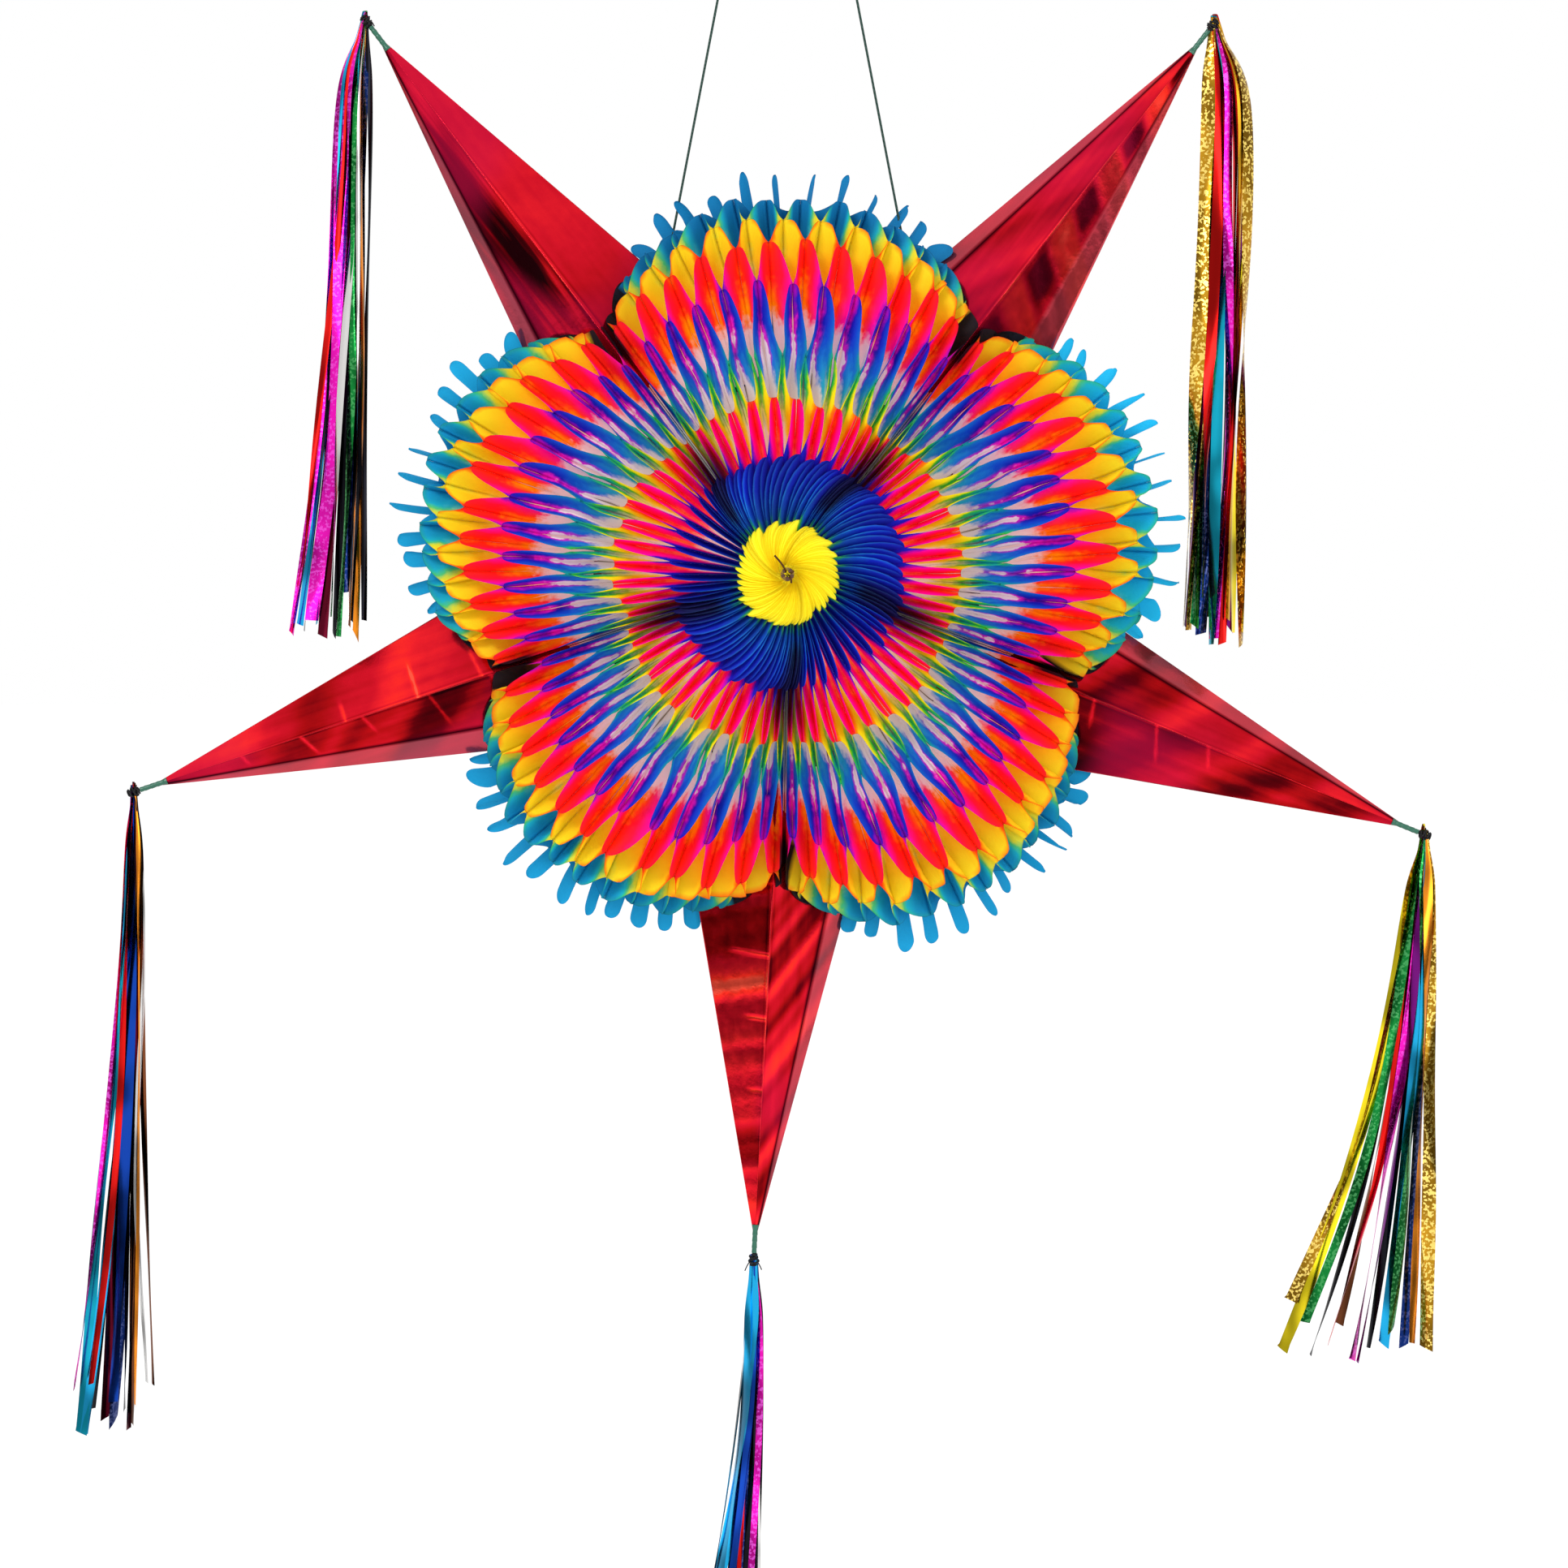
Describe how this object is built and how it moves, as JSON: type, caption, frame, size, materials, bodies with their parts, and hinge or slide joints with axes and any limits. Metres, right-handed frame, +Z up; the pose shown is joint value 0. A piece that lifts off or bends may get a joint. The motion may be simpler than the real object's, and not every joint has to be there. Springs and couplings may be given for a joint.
{
  "type": "star pinata",
  "caption": "Hanging five-point star of honeycomb tissue fans and hollow foil cones, with a strip tassel at each tip and a hollow core with a filling flap.",
  "frame": {"origin": "middle of the hanger ring's straight bar, on the line that the star swings about", "axes": "+Z up, -Y out of the star's front, +X to the right seen from the front"},
  "size_m": [0.852, 0.2495, 1.306],
  "materials": {
    "hanger_wire": "satin",
    "string": "matte",
    "tissue": "matte",
    "end_card": "matte",
    "core_card": "matte",
    "red_foil": "polished",
    "green_tape": "gloss",
    "tie_thread": "matte",
    "tassel_foil": "polished",
    "clear_tape": "satin",
    "tie_wire": "satin"
  },
  "bodies": {
    "hanger": {"hanger_ring": "hanger_wire"},
    "star": {"core_band": "core_card", "core_front_panel": "core_card", "core_back_panel": "core_card", "flap_tape_hinge": "clear_tape", "centre_wire_tie": "tie_wire", "centre_washer": "core_card", "hanging_string_left": "string", "string_loop_left": "string", "anchor_knot_left": "string", "hanging_string_right": "string", "string_loop_right": "string", "anchor_knot_right": "string", "tissue_fan_top": "tissue", "fan_end_cards_top": "end_card", "tissue_fan_upper_left": "tissue", "fan_end_cards_upper_left": "end_card", "tissue_fan_lower_left": "tissue", "fan_end_cards_lower_left": "end_card", "tissue_fan_lower_right": "tissue", "fan_end_cards_lower_right": "end_card", "tissue_fan_upper_right": "tissue", "fan_end_cards_upper_right": "end_card", "cone_upper_right": "red_foil", "tip_wrap_upper_right": "green_tape", "cone_upper_left": "red_foil", "tip_wrap_upper_left": "green_tape", "cone_left": "red_foil", "tip_wrap_left": "green_tape", "cone_bottom": "red_foil", "tip_wrap_bottom": "green_tape", "cone_right": "red_foil", "tip_wrap_right": "green_tape"},
    "flap": {"fill_flap": "core_card"},
    "knot_upper_right": {"tassel_knot_upper_right": "tie_thread"},
    "tassel_upper_right": {"tassel_upper_right": "tassel_foil"},
    "knot_upper_left": {"tassel_knot_upper_left": "tie_thread"},
    "tassel_upper_left": {"tassel_upper_left": "tassel_foil"},
    "knot_left": {"tassel_knot_left": "tie_thread"},
    "tassel_left": {"tassel_left": "tassel_foil"},
    "knot_bottom": {"tassel_knot_bottom": "tie_thread"},
    "tassel_bottom": {"tassel_bottom": "tassel_foil"},
    "knot_right": {"tassel_knot_right": "tie_thread"},
    "tassel_right": {"tassel_right": "tassel_foil"}
  },
  "joints": [
    {"name": "star_swing", "type": "hinge", "parent": "hanger", "child": "star", "pos_m": [0, 0, 0], "axis": [1, 0, 0], "range_deg": [-45, 45]},
    {"name": "flap_hinge", "type": "hinge", "parent": "star", "child": "flap", "pos_m": [0, 0.0594, -0.43], "axis": [1, 0, 0], "range_deg": [0, 95]},
    {"name": "tassel_upper_right_fore_aft", "type": "hinge", "parent": "star", "child": "knot_upper_right", "pos_m": [0.26006, 0, -0.12374], "axis": [1, 0, 0], "range_deg": [-50, 50]},
    {"name": "tassel_upper_right_sideways", "type": "hinge", "parent": "knot_upper_right", "child": "tassel_upper_right", "pos_m": [0.26006, 0, -0.12374], "axis": [0, 1, 0], "range_deg": [-60, 1.5]},
    {"name": "tassel_upper_left_fore_aft", "type": "hinge", "parent": "star", "child": "knot_upper_left", "pos_m": [-0.25712, 0, -0.12148], "axis": [1, 0, 0], "range_deg": [-50, 50]},
    {"name": "tassel_upper_left_sideways", "type": "hinge", "parent": "knot_upper_left", "child": "tassel_upper_left", "pos_m": [-0.25712, 0, -0.12148], "axis": [0, 1, 0], "range_deg": [-1.5, 60]},
    {"name": "tassel_left_fore_aft", "type": "hinge", "parent": "star", "child": "knot_left", "pos_m": [-0.40261, 0, -0.59293], "axis": [1, 0, 0], "range_deg": [-50, 50]},
    {"name": "tassel_left_sideways", "type": "hinge", "parent": "knot_left", "child": "tassel_left", "pos_m": [-0.40261, 0, -0.59293], "axis": [0, 1, 0], "range_deg": [-45, 60]},
    {"name": "tassel_bottom_fore_aft", "type": "hinge", "parent": "star", "child": "knot_bottom", "pos_m": [-0.02073, 0, -0.88279], "axis": [1, 0, 0], "range_deg": [-50, 50]},
    {"name": "tassel_bottom_sideways", "type": "hinge", "parent": "knot_bottom", "child": "tassel_bottom", "pos_m": [-0.02073, 0, -0.88279], "axis": [0, 1, 0], "range_deg": [-45, 45]},
    {"name": "tassel_right_fore_aft", "type": "hinge", "parent": "star", "child": "knot_right", "pos_m": [0.39285, 0, -0.61932], "axis": [1, 0, 0], "range_deg": [-50, 50]},
    {"name": "tassel_right_sideways", "type": "hinge", "parent": "knot_right", "child": "tassel_right", "pos_m": [0.39285, 0, -0.61932], "axis": [0, 1, 0], "range_deg": [-60, 45]}
  ]
}
